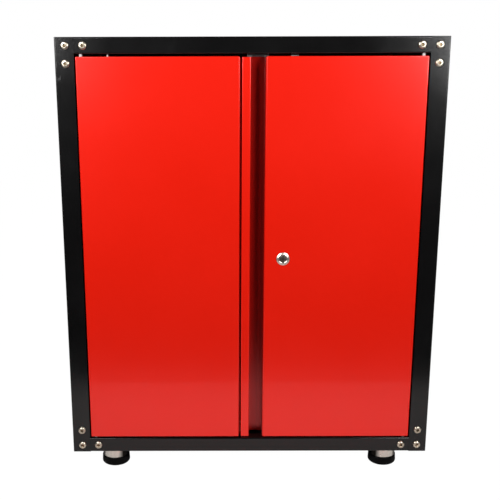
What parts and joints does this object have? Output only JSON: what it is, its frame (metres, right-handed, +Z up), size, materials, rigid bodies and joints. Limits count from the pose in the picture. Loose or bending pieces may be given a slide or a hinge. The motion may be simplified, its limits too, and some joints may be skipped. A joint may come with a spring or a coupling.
{
  "type": "two-door steel tool cabinet",
  "caption": "Free-standing steel garage base cabinet: bolted black angle frame, inset glossy red hinged doors, upright finger pull, cam lock, shelf and adjustable round feet.",
  "frame": {"origin": "on the floor, under the middle of the cabinet", "axes": "+Z up, the doors face -Y, +X to the right as seen from the front"},
  "size_m": [0.711, 0.4688, 0.849],
  "materials": {
    "frame_black": "fine-textured satin powder coat",
    "panel_black": "satin powder coat",
    "door_red": "gloss powder coat",
    "bolt_nickel": "bright nickel plate",
    "zinc_fastener": "bright zinc plate",
    "zinc_sheet": "zinc-plated sheet",
    "lock_chrome": "polished chrome",
    "lock_core_steel": "turned steel",
    "foot_chrome": "polished chrome",
    "foot_rubber": "moulded matt",
    "white_nylon": "natural nylon",
    "catch_plastic": "moulded",
    "catch_magnet": "sintered ferrite"
  },
  "bodies": {
    "cabinet": {"back_panel": "panel_black", "catch_screws": "zinc_fastener", "door_stops": "white_nylon", "floor_panel": "panel_black", "foot_nuts": "zinc_fastener", "frame_bolts": "bolt_nickel", "frame_nuts": "zinc_fastener", "front_bottom_rail": "frame_black", "front_gussets": "frame_black", "front_left_foot_sleeve": "foot_chrome", "front_left_post": "frame_black", "front_left_shelf_standard": "zinc_sheet", "front_right_foot_sleeve": "foot_chrome", "front_right_post": "frame_black", "front_right_shelf_standard": "zinc_sheet", "front_top_rail": "frame_black", "hinge_pins": "zinc_fastener", "left_side_panel": "panel_black", "lower_catch_body": "catch_plastic", "lower_catch_magnet": "catch_magnet", "panel_screws": "zinc_fastener", "rear_bottom_rail": "frame_black", "rear_gussets": "frame_black", "rear_left_foot_sleeve": "foot_chrome", "rear_left_post": "frame_black", "rear_left_shelf_standard": "zinc_sheet", "rear_right_foot_sleeve": "foot_chrome", "rear_right_post": "frame_black", "rear_right_shelf_standard": "zinc_sheet", "rear_top_rail": "frame_black", "right_side_panel": "panel_black", "shelf": "panel_black", "shelf_clips": "zinc_sheet", "top_panel": "panel_black", "upper_catch_body": "catch_plastic", "upper_catch_magnet": "catch_magnet"},
    "left_door": {"left_door_skin": "door_red", "left_door_stiffener": "door_red", "left_door_striker": "zinc_sheet", "left_door_bushes": "white_nylon", "left_door_button": "white_nylon"},
    "right_door": {"right_door_skin": "door_red", "right_door_pull": "door_red", "right_door_stiffener": "door_red", "right_door_striker": "zinc_sheet", "right_door_bushes": "white_nylon", "lock_barrel": "lock_chrome", "lock_nut": "zinc_fastener"},
    "lock_core": {"lock_plug": "lock_core_steel", "lock_cam": "zinc_sheet", "cam_screw": "zinc_fastener"},
    "front_left_foot": {"front_left_foot_boot": "foot_rubber", "front_left_foot_stud": "zinc_fastener"},
    "front_right_foot": {"front_right_foot_boot": "foot_rubber", "front_right_foot_stud": "zinc_fastener"},
    "rear_left_foot": {"rear_left_foot_boot": "foot_rubber", "rear_left_foot_stud": "zinc_fastener"},
    "rear_right_foot": {"rear_right_foot_boot": "foot_rubber", "rear_right_foot_stud": "zinc_fastener"}
  },
  "joints": [
    {"name": "left_door_hinge", "type": "hinge", "parent": "cabinet", "child": "left_door", "pos_m": [-0.3095, -0.223, 0.44], "axis": [0, 0, -1], "range_deg": [0, 115]},
    {"name": "right_door_hinge", "type": "hinge", "parent": "cabinet", "child": "right_door", "pos_m": [0.3095, -0.223, 0.44], "axis": [0, 0, 1], "range_deg": [0, 115]},
    {"name": "lock_turn", "type": "hinge", "parent": "right_door", "child": "lock_core", "pos_m": [0.0613, -0.22, 0.4375], "axis": [0, 1, 0], "range_deg": [0, 90]},
    {"name": "front_left_foot_height", "type": "slide", "parent": "cabinet", "child": "front_left_foot", "axis": [0, 0, -1], "range_m": [0, 0.012]},
    {"name": "front_right_foot_height", "type": "slide", "parent": "cabinet", "child": "front_right_foot", "axis": [0, 0, -1], "range_m": [0, 0.012]},
    {"name": "rear_left_foot_height", "type": "slide", "parent": "cabinet", "child": "rear_left_foot", "axis": [0, 0, -1], "range_m": [0, 0.012]},
    {"name": "rear_right_foot_height", "type": "slide", "parent": "cabinet", "child": "rear_right_foot", "axis": [0, 0, -1], "range_m": [0, 0.012]}
  ]
}
